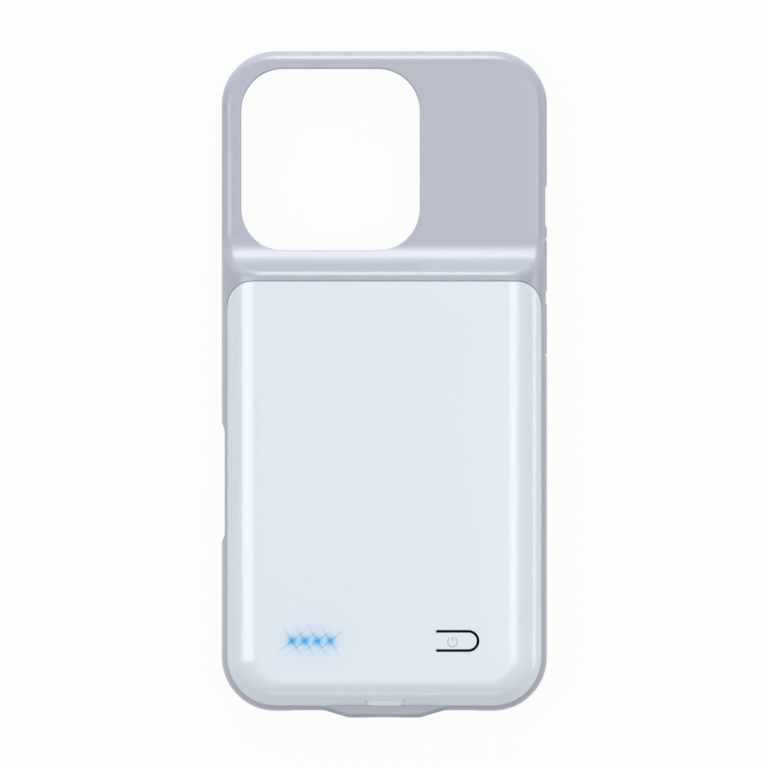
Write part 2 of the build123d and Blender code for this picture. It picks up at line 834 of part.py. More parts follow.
pieces = {
    "frame": make_frame(),
    "battery_cover": make_cover(),
    "inner_plate": make_plate(),
    "power_tab": make_tab(),
    "tact_switch": make_switch(),
    "switch_plunger": make_plunger(),
    "light_guide": make_guide(),
    "main_board": make_main_board(),
    "charging_socket_shell": make_socket_shell(),
    "charging_socket_tongue": make_socket_tongue(),
    "phone_plug_shell": make_plug_shell(),
    "phone_plug_insert": make_plug_insert(),
    "phone_plug_collar": make_collar(),
    "plug_board": make_plug_board(),
    "battery_cell": make_cell(),
    "cell_tape": cell_pad(tape_margin, z_plate, tape_thickness),
    "cell_foam": cell_pad(foam_margin, z_roof - foam_thickness, foam_thickness),
    "protection_board": make_protection_board(),
    "cell_tabs": make_cell_tabs(),
    "red_lead": make_lead(-lead_spacing / 2),
    "black_lead": make_lead(lead_spacing / 2),
    "controller_chip": make_chip(0, controller_from_row, controller_side, controller_height),
    "charger_chip": make_chip(charger_x, charger_from_row, charger_side, charger_height),
    "power_inductor": make_inductor(),
    "board_capacitors": make_capacitors(),
    "plate_screws": make_plate_screws(),
    "board_screws": make_board_screws(),
    "volume_up_key": key(1, volume_up_from_top, volume_up_length),
    "volume_down_key": key(1, volume_down_from_top, volume_down_length),
    "side_key": key(-1, side_key_from_top, side_key_length),
}
for number, x in enumerate(led_places(), start=1):
    pieces[f"status_led_{number}"] = make_led(x)

os.makedirs("parts", exist_ok=True)
for name, piece in pieces.items():
    export_step(piece, f"parts/{name}.step")
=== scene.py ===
import json
import math

import bmesh
import bpy
from mathutils import Matrix, Vector

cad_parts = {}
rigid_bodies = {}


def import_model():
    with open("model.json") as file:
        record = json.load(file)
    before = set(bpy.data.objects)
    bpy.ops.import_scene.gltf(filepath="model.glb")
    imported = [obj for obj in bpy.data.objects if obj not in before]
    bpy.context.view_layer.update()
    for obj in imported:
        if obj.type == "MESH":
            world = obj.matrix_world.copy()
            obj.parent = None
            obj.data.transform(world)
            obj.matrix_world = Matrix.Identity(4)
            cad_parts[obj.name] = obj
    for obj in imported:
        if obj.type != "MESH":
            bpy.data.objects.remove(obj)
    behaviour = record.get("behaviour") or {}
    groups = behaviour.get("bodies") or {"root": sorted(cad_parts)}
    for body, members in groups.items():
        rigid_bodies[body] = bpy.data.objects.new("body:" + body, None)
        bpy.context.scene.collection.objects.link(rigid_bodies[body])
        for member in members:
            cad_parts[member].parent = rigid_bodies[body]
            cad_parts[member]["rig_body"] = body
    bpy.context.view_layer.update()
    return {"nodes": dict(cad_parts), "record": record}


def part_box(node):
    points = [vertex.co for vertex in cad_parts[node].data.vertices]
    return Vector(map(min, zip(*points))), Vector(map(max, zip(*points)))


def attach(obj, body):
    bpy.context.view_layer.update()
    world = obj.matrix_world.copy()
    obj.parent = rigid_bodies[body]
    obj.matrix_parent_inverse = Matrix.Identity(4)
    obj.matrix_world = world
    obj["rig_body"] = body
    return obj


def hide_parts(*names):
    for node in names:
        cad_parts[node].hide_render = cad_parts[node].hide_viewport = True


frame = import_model()

MM = 0.001

# Places taken from the frame
floor_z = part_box("frame")[0].z
cover_low, cover_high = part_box("battery_cover")
tab_low, tab_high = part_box("power_tab")
plug_low, plug_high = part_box("phone_plug_insert")
socket_low, socket_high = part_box("charging_socket_tongue")
light_boxes = [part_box(f"status_led_{number}") for number in range(1, 5)]
light_x = [(low.x + high.x) / 2 for low, high in light_boxes]
row_y = (light_boxes[0][0].y + light_boxes[0][1].y) / 2
top_z = cover_high.z

# Distances at which points are merged, in the copies of CAD nodes and in new pieces
SEAM_WELD = 0.0005 * MM
PIECE_WELD = 0.0002 * MM

# Slot around the power tab: its width, the hair gap at the tab's root, and how far the root reaches
TAB_SLOT = 0.64 * MM
ROOT_GAP = 0.08 * MM
TAB_ROOT = 2.45 * MM
slot_left = tab_low.x - ROOT_GAP + TAB_ROOT
slot_right = tab_high.x + TAB_SLOT
slot_half = (tab_high.y - tab_low.y) / 2 + ROOT_GAP

# Walls that count as the slot's, painted black as shade: the margin around the slot, its depth, and how far
# they may lean
SLOT_MARGIN = 0.02 * MM
SLOT_DEPTH = 2.0 * MM
SLOT_LEAN = 0.3

# Black film of painted shade under the slot: the cover's wall above it, its clearance to the tab, its reach
# and its thickness
COVER_WALL = 1.5 * MM
FILM_CLEAR = 0.1 * MM
FILM_REACH = 0.8 * MM
FILM_THICKNESS = 0.15 * MM

# Web in the gap at the tab's root: how far it stays off the tab, how deep it lies, its thickness
WEB_CLEAR = 0.01 * MM
WEB_DROP = 0.015 * MM
WEB_THICKNESS = 0.3 * MM

# Groove between cover and frame: its width, the radius of its foot corners and of its upper corners
GROOVE = 0.1 * MM
FOOT_CORNER = 11.15 * MM
UPPER_CORNER = 5.8 * MM

# Bead in the groove: how deep it lies under the cover's top, and its height
BEAD_DROP = 4.44 * MM
BEAD_HEIGHT = 0.5 * MM

# Tapered relief above the socket: half its width at the foot, how it widens, its length, and the soft
# edge and the gain of the highlight painted on its face, which catches more light
RELIEF_HALF = 3.75 * MM
RELIEF_TAPER = 0.51
RELIEF_LENGTH = 1.95 * MM
RELIEF_HIGHLIGHT_EDGE = 0.12 * MM
RELIEF_HIGHLIGHT_GAIN = 1.10

# Power sign on the tab: where its ring lies, its radius, half its line, half its gap in degrees, the
# heights on its stroke in shares of the radius, and how far the ink stands up
SIGN_X = 15.81 * MM
SIGN_DROP = 0.23 * MM
SIGN_RADIUS = 1.12 * MM
SIGN_HALF_LINE = 0.13 * MM
SIGN_GAP = 33
SIGN_STROKE = (0.25, 0.6, 1.1)
SIGN_RISE = 0.012 * MM

# Contacts in the plug and on the socket's tongue: their number, pitch and thickness, half the width of
# each kind, and its profile from the tip, as millimetres along Y and off the middle plane
CONTACT_COUNT = 12
CONTACT_PITCH = 0.5 * MM
CONTACT_THICKNESS = 0.03 * MM
SPRING_HALF = 0.12 * MM
SPRING = [(-4.9, 0.41), (-2.8, 0.40), (-1.9, 0.33), (-1.5, 0.28), (-1.2, 0.26), (-0.9, 0.28), (-0.55, 0.38)]
PAD_HALF = 0.13 * MM
PAD = [(0.25, 0.345), (0.4, 0.362), (3.6, 0.362)]

# Screws: radii of head, shank and core, the head's height, and the two kinds of head as radius and height
HEAD = 1.3 * MM
SHANK = 0.7 * MM
CORE = 0.58 * MM
HEAD_HEIGHT = 0.6 * MM
SUNK_HEAD = [(HEAD - 0.05 * MM, 0), (HEAD, 0.04 * MM), (SHANK, HEAD_HEIGHT)]
FLAT_HEAD = [(HEAD - 0.12 * MM, 0), (HEAD, 0.12 * MM), (HEAD, HEAD_HEIGHT), (SHANK, HEAD_HEIGHT)]

# Thread: where it starts, how far before the tip it ends, its pitch, and its ridge as radius and share of a
# turn
THREAD_START = 0.7 * MM
THREAD_END = 0.05 * MM
THREAD_PITCH = 0.35 * MM
THREAD_RIDGE = [(CORE, 0.15), (SHANK, 0.5), (CORE, 0.85)]

# Cross in a screw's head: reach and half width of its arms, its depth, and how its floor is scaled
CROSS_ARM = 0.72 * MM
CROSS_HALF = 0.15 * MM
CROSS_DEPTH = 0.40 * MM
CROSS_TAPER = 0.62

# Photograph: width of its frame at the object, where its middle lies on the case, and sensor and lens in
# millimetres
PHOTO_WIDTH = 178.56 * MM
PHOTO_CENTRE = Vector((-0.08 * MM, 0.05 * MM, 0))
SENSOR = 36
LENS = 800

# Colours
FRAME_GREY = (0.357, 0.380, 0.445)
COVER_PALE = (0.720, 0.789, 0.860)
LIGHT_BLUE = (0.050, 0.370, 0.830)
GLOW_BLUE = (0.060, 0.430, 0.840)
RAY_BLUE = (0.085, 0.380, 0.690)
# Black of the painted shade in the slot around the power tab
SLOT_SHADE_BLACK = (0.004, 0.005, 0.007)
SIGN_GREY = (0.420, 0.450, 0.490)
CONTACT_GOLD = (0.83, 0.60, 0.25)

# Share of the light's colour that lit plastic has unlit, and how much longer than wide drawing lines are
LIT_BODY = 0.25
LINE_STRETCH = 50

# Glow painted around each light: radius and peak of its near and far part, how deep in the cover it shows,
# and how much it shines by itself
NEAR_GLOW_RADIUS = 1.1 * MM
NEAR_GLOW_PEAK = 0.90
FAR_GLOW_RADIUS = 3.6 * MM
FAR_GLOW_PEAK = 0.09
GLOW_DEPTH = 0.1 * MM
GLOW_EMISSION = 0.02

# Rays painted from each light: their directions in degrees, their length, width and peak
RAY_TURNS = (38, -57)
RAY_LENGTH = 4.6 * MM
RAY_WIDTH = 0.17 * MM
RAY_PEAK = 0.80

# Plain moulded finishes: slot, name, colour, roughness, grain in turns per metre, its depth in millimetres
MOULDED = [
    ("plate_plastic", "plate_matte", (0.40, 0.42, 0.48), 0.5, 3800, 0.006),
    ("switch_black", "switch_matte", (0.03, 0.03, 0.03), 0.5, 4000, 0.004),
    ("board_green", "board_mask", (0.03, 0.16, 0.09), 0.35, 2500, 0.002),
    ("connector_black", "connector_matte", (0.022, 0.022, 0.024), 0.45, 5000, 0.003),
    ("collar_rubber", "collar_soft", (0.10, 0.10, 0.11), 0.62, 4200, 0.006),
    ("tape_black", "tape_matte", (0.05, 0.05, 0.05), 0.7, 3000, 0.01),
    ("foam_grey", "foam_open", (0.20, 0.20, 0.21), 0.85, 1800, 0.08),
    ("lead_red", "lead_red_skin", (0.55, 0.04, 0.03), 0.5, 3000, 0.004),
    ("lead_black", "lead_black_skin", (0.03, 0.03, 0.03), 0.5, 3000, 0.004),
    ("chip_black", "chip_moulding", (0.03, 0.03, 0.035), 0.5, 4500, 0.004),
    ("inductor_grey", "coil_powder", (0.12, 0.12, 0.13), 0.6, 3500, 0.01),
    ("capacitor_tan", "capacitor_ceramic", (0.42, 0.30, 0.18), 0.4, 3500, 0.003),
]

# Metal finishes: slot, name, colour, roughness, drawing lines in turns per metre
METALS = [
    ("connector_steel", "connector_plated", (0.62, 0.62, 0.63), 0.26, 9000),
    ("cell_foil", "cell_laminate", (0.66, 0.67, 0.69), 0.38, 600),
    ("tab_nickel", "strip_nickel", (0.60, 0.58, 0.55), 0.3, 5000),
    ("screw_steel", "screw_plated", (0.45, 0.45, 0.46), 0.3, 7000),
]

# Floor: its size, how far it lies under the case, its own grey, and the share of plain white that is seen
# on it, where the rest keeps the shadow
FLOOR_SIZE = 6.0
FLOOR_GAP = 0.02 * MM
FLOOR_GREY = 0.68
FLOOR_WHITE = 0.95

# Room light: its middle level, and how much it rises towards +X and +Y
ROOM_LEVEL = 0.40
ROOM_X = 0.06
ROOM_Y = 0.19

# Light panels: name, compass side and lean from overhead in degrees, then distance, level width and height
# in metres, and how bright the panel looks
PANELS = [
    ("overhead", 90, 0, 1.2, 0.9, 0.9, 0.70),
    ("left_strip", 180, 39, 1.0, 0.28, 0.60, 4.4),
    ("right_strip", 0, 17, 1.0, 0.28, 0.44, 3.6),
    ("right_low", 0, 84, 1.0, 0.60, 0.22, 3.3),
    ("ramp_wall", 90, 54, 1.0, 0.50, 0.56, 2.0),
    ("foot_fill", 270, 26, 1.0, 0.25, 0.46, 1.7),
    ("foot_strip", 270, 67, 1.0, 0.25, 0.10, 3.2),
]

# Pieces of the soft frame, and the panels that light these alone, in the same columns and one more: whether
# the pieces mirror the panel
SOFT_PIECES = ("frame_skin", "volume_up_key_skin", "volume_down_key_skin", "side_key_skin", "seam_bead")
SOFT_PANELS = [
    ("left_low", 180, 85, 1.0, 0.90, 0.16, 3.0, False),
    ("ramp_strip", 90, 58, 1.0, 0.28, 0.50, 5.2, True),
    ("ramp_low", 90, 85, 1.0, 0.90, 0.16, 9.0, False),
]


# Small helpers for node trees

def add(tree, kind, **settings):
    """New node of a tree, with its plain properties set."""
    node = tree.nodes.new(kind)
    for name, value in settings.items():
        setattr(node, name, value)
    return node


def plug(tree, target, value):
    """Links a socket to an input, or sets the input to a plain value."""
    if isinstance(value, bpy.types.NodeSocket):
        tree.links.new(value, target)
    else:
        target.default_value = value


def fit(tree, shader, values):
    """Fills a shader's inputs, by their names."""
    for name, value in values.items():
        plug(tree, shader.inputs[name], value)


def calc(tree, operation, *values):
    """Math node on sockets or plain numbers."""
    node = add(tree, "ShaderNodeMath", operation=operation)
    for target, value in zip(node.inputs, values):
        plug(tree, target, value)
    return node.outputs[0]


def times(tree, first, second):
    """Product of two sockets or plain numbers."""
    return calc(tree, "MULTIPLY", first, second)


def blend_colour(tree, share, first, second):
    """Mix of two colours by a share."""
    node = add(tree, "ShaderNodeMix", data_type="RGBA")
    plug(tree, node.inputs["Factor"], share)
    plug(tree, node.inputs[6], first)
    plug(tree, node.inputs[7], second)
    return node.outputs[2]


def axes(tree, space="Object"):
    """Sockets of the three coordinates in a space."""
    place = add(tree, "ShaderNodeTexCoord")
    split = add(tree, "ShaderNodeSeparateXYZ")
    plug(tree, split.inputs[0], place.outputs[space])
    return split.outputs["X"], split.outputs["Y"], split.outputs["Z"]


def noise(tree, scale, detail=2.0):
    """Noise on the piece's own coordinates, with the scale in turns per metre."""
    place = add(tree, "ShaderNodeTexCoord")
    node = add(tree, "ShaderNodeTexNoise")
    plug(tree, node.inputs["Vector"], place.outputs["Object"])
    node.inputs["Scale"].default_value = scale
    node.inputs["Detail"].default_value = detail
    return node.outputs["Fac"]


def spread(tree, value, low, high):
    """Value from 0 to 1 spread between two numbers, and held there."""
    node = add(tree, "ShaderNodeMapRange")
    plug(tree, node.inputs["Value"], value)
    node.inputs["To Min"].default_value = low
    node.inputs["To Max"].default_value = high
    return node.outputs["Result"]


def bump(tree, height, depth):
    """Normal of a fine relief, with its depth in metres."""
    node = add(tree, "ShaderNodeBump")
    node.inputs["Strength"].default_value = 1.0
    node.inputs["Distance"].default_value = depth
    plug(tree, node.inputs["Height"], height)
    return node.outputs["Normal"]


def rgba(colour, gain=1.0):
    """Colour with a gain, as the four numbers that a socket takes."""
    return tuple(min(1.0, part * gain) for part in colour) + (1.0,)


def drift(tree, colour, scale, amount):
    """Colour that drifts a little in brightness over the piece."""
    return blend_colour(tree, noise(tree, scale), rgba(colour, 1 - amount), rgba(colour, 1 + amount))


def new_finish(name):
    """Empty material with its tree and shader."""
    finish = bpy.data.materials.new(name)
    finish.use_nodes = True
    return finish, finish.node_tree, finish.node_tree.nodes["Principled BSDF"]


# Finishes

def satin_frame():
    """Soft grey-blue plastic with a fine moulded grain."""
    finish, tree, shader = new_finish("frame_satin")
    fit(tree, shader, {
        "Base Color": drift(tree, FRAME_GREY, scale=60, amount=0.012),
        "Roughness": spread(tree, noise(tree, scale=900), low=0.27, high=0.30),
        "Specular IOR Level": 0.75,
        "Normal": bump(tree, noise(tree, scale=5200, detail=3.0), depth=0.0006 * MM),
    })
    return finish


def fall_off(tree, square, radius):
    """Bell-shaped fall from 1, by the squared distance."""
    return calc(tree, "POWER", math.e, calc(tree, "DIVIDE", square, -(radius ** 2)))


def turned(tree, x, y, degrees):
    """Two coordinates along and across a direction in the cover's plane."""
    cosine = math.cos(math.radians(degrees))
    sine = math.sin(math.radians(degrees))
    along = calc(tree, "ADD", times(tree, x, cosine), times(tree, y, sine))
    across = calc(tree, "SUBTRACT", times(tree, y, cosine), times(tree, x, sine))
    return along, across


def ray_share(tree, along, across):
    """Painted ray of light: a thin streak that fades along its length and to its sides."""
    fade = calc(tree, "SUBTRACT", 1.0, calc(tree, "DIVIDE", calc(tree, "ABSOLUTE", along), RAY_LENGTH))
    fade = calc(tree, "MAXIMUM", fade, 0.0)
    return times(tree, fade, fall_off(tree, times(tree, across, across), RAY_WIDTH))


def glow_shares(tree):
    """Shares of blue light painted into the plastic around the row of lights: the soft glow and the rays.
    """
    own_x, own_y, own_z = axes(tree)
    y = calc(tree, "SUBTRACT", own_y, row_y)
    glow = 0.0
    rays = 0.0
    for middle in light_x:
        x = calc(tree, "SUBTRACT", own_x, middle)
        square = calc(tree, "ADD", times(tree, x, x), times(tree, y, y))
        for radius, peak in ((NEAR_GLOW_RADIUS, NEAR_GLOW_PEAK), (FAR_GLOW_RADIUS, FAR_GLOW_PEAK)):
            glow = calc(tree, "ADD", glow, times(tree, fall_off(tree, square, radius), peak))
        for degrees in RAY_TURNS:
            along, across = turned(tree, x, y, degrees)
            rays = calc(tree, "ADD", rays, ray_share(tree, along, across))
    above = calc(tree, "GREATER_THAN", own_z, top_z - GLOW_DEPTH)
    glow = times(tree, calc(tree, "MINIMUM", glow, 1.0), above)
    rays = times(tree, calc(tree, "MINIMUM", times(tree, rays, RAY_PEAK), 1.0), above)
    return glow, rays


def relief_painted_highlight(tree):
    """Share of the highlight painted on the face of the tapered relief above the socket, which catches more
    light.
    """
    own_x, own_y = axes(tree)[:2]
    along = calc(tree, "SUBTRACT", own_y, cover_low.y)
    half = calc(tree, "ADD", RELIEF_HALF, times(tree, along, RELIEF_TAPER))
    beside = calc(tree, "SUBTRACT", half, calc(tree, "ABSOLUTE", own_x))
    inside = calc(tree, "MINIMUM", beside, calc(tree, "SUBTRACT", RELIEF_LENGTH, along))
    return spread(tree, calc(tree, "DIVIDE", inside, RELIEF_HIGHLIGHT_EDGE), low=0.0, high=1.0)


def polished_cover():
    """Polished pale plastic, with the lights' glow and rays painted around them and a painted highlight on
    the relief's face.
    """
    finish, tree, shader = new_finish("cover_polished")
    glow, rays = glow_shares(tree)
    pale = drift(tree, COVER_PALE, scale=40, amount=0.008)
    # Painted highlight: the relief's face is painted paler, as its gentler tilt catches more light
    pale = blend_colour(tree, relief_painted_highlight(tree), pale, rgba(COVER_PALE, RELIEF_HIGHLIGHT_GAIN))
    # Painted light: the lights' glow and rays are painted blue into the cover's colour
    pale = blend_colour(tree, glow, pale, rgba(GLOW_BLUE))
    pale = blend_colour(tree, rays, pale, rgba(RAY_BLUE))
    fit(tree, shader, {
        "Base Color": pale,
        "Emission Color": rgba(GLOW_BLUE),
        "Emission Strength": times(tree, glow, GLOW_EMISSION),
        "Roughness": spread(tree, noise(tree, scale=700), low=0.19, high=0.22),
        "Normal": bump(tree, noise(tree, scale=420), depth=0.0015 * MM),
        "Coat Weight": 0.3,
        "Coat Roughness": 0.16,
    })
    return finish


def lit_plastic(name):
    """Clear plastic that glows blue, with a dim body under the glow."""
    finish, tree, shader = new_finish(name)
    body = [part * LIT_BODY for part in LIGHT_BLUE]
    fit(tree, shader, {
        "Base Color": drift(tree, body, scale=2500, amount=0.10),
        "Roughness": 0.25,
        "Emission Color": rgba(LIGHT_BLUE),
        "Emission Strength": 0.66,
    })
    return finish


def moulded(name, colour, roughness, grain, depth, specular=0.5):
    """Plain moulded plastic or rubber with a fine grain."""
    finish, tree, shader = new_finish(name)
    sheen = noise(tree, grain / 3)
    fit(tree, shader, {
        "Base Color": drift(tree, colour, scale=120, amount=0.06),
        "Roughness": spread(tree, sheen, low=roughness - 0.06, high=roughness + 0.06),
        "Specular IOR Level": specular,
        "Normal": bump(tree, noise(tree, grain), depth),
    })
    return finish


def metal(name, colour, roughness, lines):
    """Plated metal with fine drawing lines along Y."""
    finish, tree, shader = new_finish(name)
    place = add(tree, "ShaderNodeTexCoord")
    stretch = add(tree, "ShaderNodeMapping")
    stretch.inputs["Scale"].default_value = (lines, lines / LINE_STRETCH, lines)
    plug(tree, stretch.inputs["Vector"], place.outputs["Object"])
    streaks = add(tree, "ShaderNodeTexNoise")
    streaks.inputs["Scale"].default_value = 1.0
    plug(tree, streaks.inputs["Vector"], stretch.outputs["Vector"])
    share = streaks.outputs["Fac"]
    fit(tree, shader, {
        "Base Color": blend_colour(tree, share, rgba(colour, gain=0.95), rgba(colour, gain=1.03)),
        "Roughness": spread(tree, share, low=roughness - 0.05, high=roughness + 0.08),
        "Metallic": 1.0,
    })
    return finish


finishes = {
    "frame_tpu": satin_frame(),
    "cover_gloss": polished_cover(),
    "guide_clear": lit_plastic("lit_guide"),
    "led_blue": lit_plastic("lit_lens"),
}
for slot, name, colour, roughness, grain, depth in MOULDED:
    finishes[slot] = moulded(name, colour, roughness, grain, depth * MM)
for slot, name, colour, roughness, lines in METALS:
    finishes[slot] = metal(name, colour, roughness, lines)
# Painted shade: a dull black for the walls of the slot around the power tab and for the film under it
slot_shade_finish = moulded("painted_slot_shade", SLOT_SHADE_BLACK, roughness=0.7, grain=4000, depth=0.002 * MM, specular=0.1)
sign_ink = moulded("sign_ink", SIGN_GREY, roughness=0.4, grain=4000, depth=0.001 * MM)
gilded = metal("contact_gilded", CONTACT_GOLD, roughness=0.24, lines=9000)

slots = {part["node"]: part["material_slot"] for part in frame["record"]["subparts"]}
for name, node in frame["nodes"].items():
    node.data.materials.clear()
    node.data.materials.append(finishes[slots[name]])


# Pieces that stand for CAD nodes with smoother shading

def body_of(node):
    """Body that carries a node."""
    return frame["nodes"][node]["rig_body"]


def in_tab_slot(face):
    """True for the upright walls of the slot around the power tab."""
    middle = face.calc_center_median()
    along = slot_left - SLOT_MARGIN < middle.x < slot_right
    across = abs(middle.y - row_y) < slot_half + SLOT_MARGIN
    return along and across and abs(face.normal.z) < SLOT_LEAN and middle.z > top_z - SLOT_DEPTH


def smooth_skin(node, angle):
    """Copy of a node's mesh with its seams closed and its round faces shaded smooth."""
    mesh = frame["nodes"][node].data.copy()
    mesh.name = node + "_skin"
    mesh.materials.append(slot_shade_finish)
    slotted = node in ("battery_cover", "power_tab")
    work = bmesh.new()
    work.from_mesh(mesh)
    bmesh.ops.remove_doubles(work, verts=work.verts, dist=SEAM_WELD)
    work.normal_update()
    # The slot's upright walls take the black of painted shade
    for face in work.faces:
        face.smooth = True
        face.material_index = 1 if slotted and in_tab_slot(face) else 0
    work.to_mesh(mesh)
    work.free()
    if "custom_normal" in mesh.attributes:
        mesh.attributes.remove(mesh.attributes["custom_normal"])
    mesh.set_sharp_from_angle(angle=math.radians(angle))
    piece = bpy.data.objects.new(node + "_skin", mesh)
    bpy.context.scene.collection.objects.link(piece)
    even = piece.modifiers.new("even_normals", "WEIGHTED_NORMAL")
    even.keep_sharp = True
    even.weight = 80
    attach(piece, body_of(node))
    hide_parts(node)


for node in ("frame", "battery_cover", "power_tab", "volume_up_key", "volume_down_key", "side_key"):
    smooth_skin(node, angle=28)


# Helpers for new pieces

def as_piece(name, mesh, finish=None, body="case", replaced=None):
    """Finished piece on a body, with a finish where one is given, in place of a node where one is named."""
    mesh.name = name
    if finish:
        mesh.materials.clear()
        mesh.materials.append(finish)
    piece = bpy.data.objects.new(name, mesh)
    bpy.context.scene.collection.objects.link(piece)
    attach(piece, body)
    if replaced:
        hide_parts(replaced)


def closed_mesh(name, work):
    """Mesh from a bmesh, with its doubles merged and its faces turned outwards."""
    bmesh.ops.remove_doubles(work, verts=work.verts, dist=PIECE_WELD)
    bmesh.ops.recalc_face_normals(work, faces=work.faces)
    mesh = bpy.data.meshes.new(name)
    work.to_mesh(mesh)
    work.free()
    return mesh


def thickened(work, faces, shift):
    """Closes a sheet of faces into a plate, by a copy that is moved by shift."""
    raised = bmesh.ops.extrude_face_region(work, geom=faces)
    corners = [part for part in raised["geom"] if isinstance(part, bmesh.types.BMVert)]
    bmesh.ops.translate(work, vec=shift, verts=corners)


def strip(work, rows):
    """Faces between rows of two points that follow each other."""
    rows = [[work.verts.new(point) for point in row] for row in rows]
    return [work.faces.new((near[0], near[1], far[1], far[0])) for near, far in zip(rows, rows[1:])]


def aims(start, end, steps):
    """Directions at even steps from one angle to another, in degrees."""
    turns = [math.radians(start + (end - start) * step / steps) for step in range(steps + 1)]
    return [Vector((math.cos(turn), math.sin(turn))) for turn in turns]


def band(name, routes, z, rise):
    """Flat closed bands at a height, each along a route of point pairs in plan."""
    work = bmesh.new()
    for route in routes:
        strip(work, [[(point.x, point.y, z) for point in pair] for pair in route])
    thickened(work, list(work.faces), (0, 0, rise))
    return closed_mesh(name, work)


# Pieces around the power tab and the cover

def slot_seal():
    """Black film under the cover, painted shade that closes the slot around the power tab."""
    inner = slot_half - TAB_SLOT + FILM_CLEAR
    outer = slot_half + FILM_REACH
    bend = Vector((slot_right - slot_half, row_y))
    route = [(bend + aim * inner, bend + aim * outer) for aim in aims(90, -90, steps=24)]
    ends = [[Vector((slot_left, point.y)) for point in pair] for pair in (route[0], route[-1])]
    route = [ends[0]] + route + [ends[1]]
    mesh = band("slot_seal", [route], top_z - COVER_WALL, -FILM_THICKNESS)
    as_piece("slot_seal", mesh, slot_shade_finish)


def root_web():
    """Thin web in the hair gap at the tab's root, just under the cover's top."""
    middle = Vector((tab_low.x - ROOT_GAP + slot_half, row_y))
    inner = slot_half - ROOT_GAP + WEB_CLEAR
    outer = slot_half + WEB_CLEAR
    route = [(middle + aim * inner, middle + aim * outer) for aim in aims(90, 270, steps=32)]
    mesh = band("root_web", [route], top_z - WEB_DROP, -WEB_THICKNESS)
    as_piece("root_web", mesh, finishes["cover_gloss"])


def seam_bead():
    """Bead in the groove around the cover, from the relief round both foot corners and up the sides."""
    bend = Vector((cover_high.x - FOOT_CORNER, cover_low.y + FOOT_CORNER))
    edge = [(bend + aim * FOOT_CORNER, aim) for aim in aims(-90, 0, steps=32)]
    edge.insert(0, (Vector((RELIEF_HALF, cover_low.y)), Vector((0, -1))))
    edge.append((Vector((cover_high.x, cover_high.y - UPPER_CORNER)), Vector((1, 0))))
    right = [(spot, spot + aim * GROOVE) for spot, aim in edge]
    left = [[Vector((-point.x, point.y)) for point in pair] for pair in right]
    mesh = band("seam_bead", [right, left], top_z - BEAD_DROP, -BEAD_HEIGHT)
    as_piece("seam_bead", mesh, finishes["frame_tpu"])


def power_sign():
    """Ring with a gap at its top and a short stroke in the gap, printed on the tab."""
    middle = Vector((SIGN_X, row_y - SIGN_DROP))
    inner = SIGN_RADIUS - SIGN_HALF_LINE
    outer = SIGN_RADIUS + SIGN_HALF_LINE
    turn = aims(90 + SIGN_GAP, 450 - SIGN_GAP, steps=48)
    ring = [(middle + aim * inner, middle + aim * outer) for aim in turn]
    side = Vector((SIGN_HALF_LINE, 0))
    spots = [middle + Vector((0, share * SIGN_RADIUS)) for share in SIGN_STROKE]
    stroke = [(spot - side, spot + side) for spot in spots]
    mesh = band("power_sign", [ring, stroke], top_z, SIGN_RISE)
    as_piece("power_sign", mesh, sign_ink, "power_tab")


# Repeated pieces, by a tree that sets one piece on a level grid

def grid_tree():
    """Tree with named sizes that repeats one piece in columns and rows around the origin."""
    tree = bpy.data.node_groups.new("grid_of_pieces", "GeometryNodeTree")
    kinds = {"One piece": "Geometry", "Columns": "Int", "Rows": "Int", "Column pitch": "Float",
             "Row pitch": "Float", "Finish": "Material"}
    for name, kind in kinds.items():
        tree.interface.new_socket(name, in_out="INPUT", socket_type="NodeSocket" + kind)
    tree.interface.new_socket("Pieces", in_out="OUTPUT", socket_type="NodeSocketGeometry")
    sizes = add(tree, "NodeGroupInput").outputs
    grid = add(tree, "GeometryNodeMeshGrid")
    for axis, count, pitch in (("X", "Columns", "Column pitch"), ("Y", "Rows", "Row pitch")):
        plug(tree, grid.inputs["Vertices " + axis], sizes[count])
        gaps = calc(tree, "SUBTRACT", sizes[count], 1.0)
        plug(tree, grid.inputs["Size " + axis], times(tree, gaps, sizes[pitch]))
    spots = add(tree, "GeometryNodeInstanceOnPoints")
    plug(tree, spots.inputs["Points"], grid.outputs["Mesh"])
    plug(tree, spots.inputs["Instance"], sizes["One piece"])
    real = add(tree, "GeometryNodeRealizeInstances")
    plug(tree, real.inputs["Geometry"], spots.outputs["Instances"])
    coat = add(tree, "GeometryNodeSetMaterial")
    plug(tree, coat.inputs["Geometry"], real.outputs["Geometry"])
    plug(tree, coat.inputs["Material"], sizes["Finish"])
    plug(tree, add(tree, "NodeGroupOutput").inputs["Pieces"], coat.outputs["Geometry"])
    return tree


def repeated(name, one, middle, sizes):
    """Plain mesh of one piece repeated on a grid around a middle."""
    holder = bpy.data.objects.new(name, one)
    bpy.context.scene.collection.objects.link(holder)
    grid = holder.modifiers.new("grid", "NODES")
    grid.node_group = piece_grid
    for socket in piece_grid.interface.items_tree:
        if socket.in_out == "INPUT" and socket.name in sizes:
            grid[socket.identifier] = sizes[socket.name]
    ready = holder.evaluated_get(bpy.context.evaluated_depsgraph_get())
    mesh = bpy.data.meshes.new_from_object(ready)
    bpy.data.objects.remove(holder)
    mesh.transform(Matrix.Translation(middle))
    return mesh


def contact_pair(name, profile, half_width):
    """Pair of thin strips along Y, one above and one mirrored below the middle plane."""
    work = bmesh.new()
    for side in (1, -1):
        rows = [[(x, y * MM, side * z * MM) for x in (-half_width, half_width)] for y, z in profile]
        thickened(work, strip(work, rows), (0, 0, side * CONTACT_THICKNESS))
    return closed_mesh(name, work)


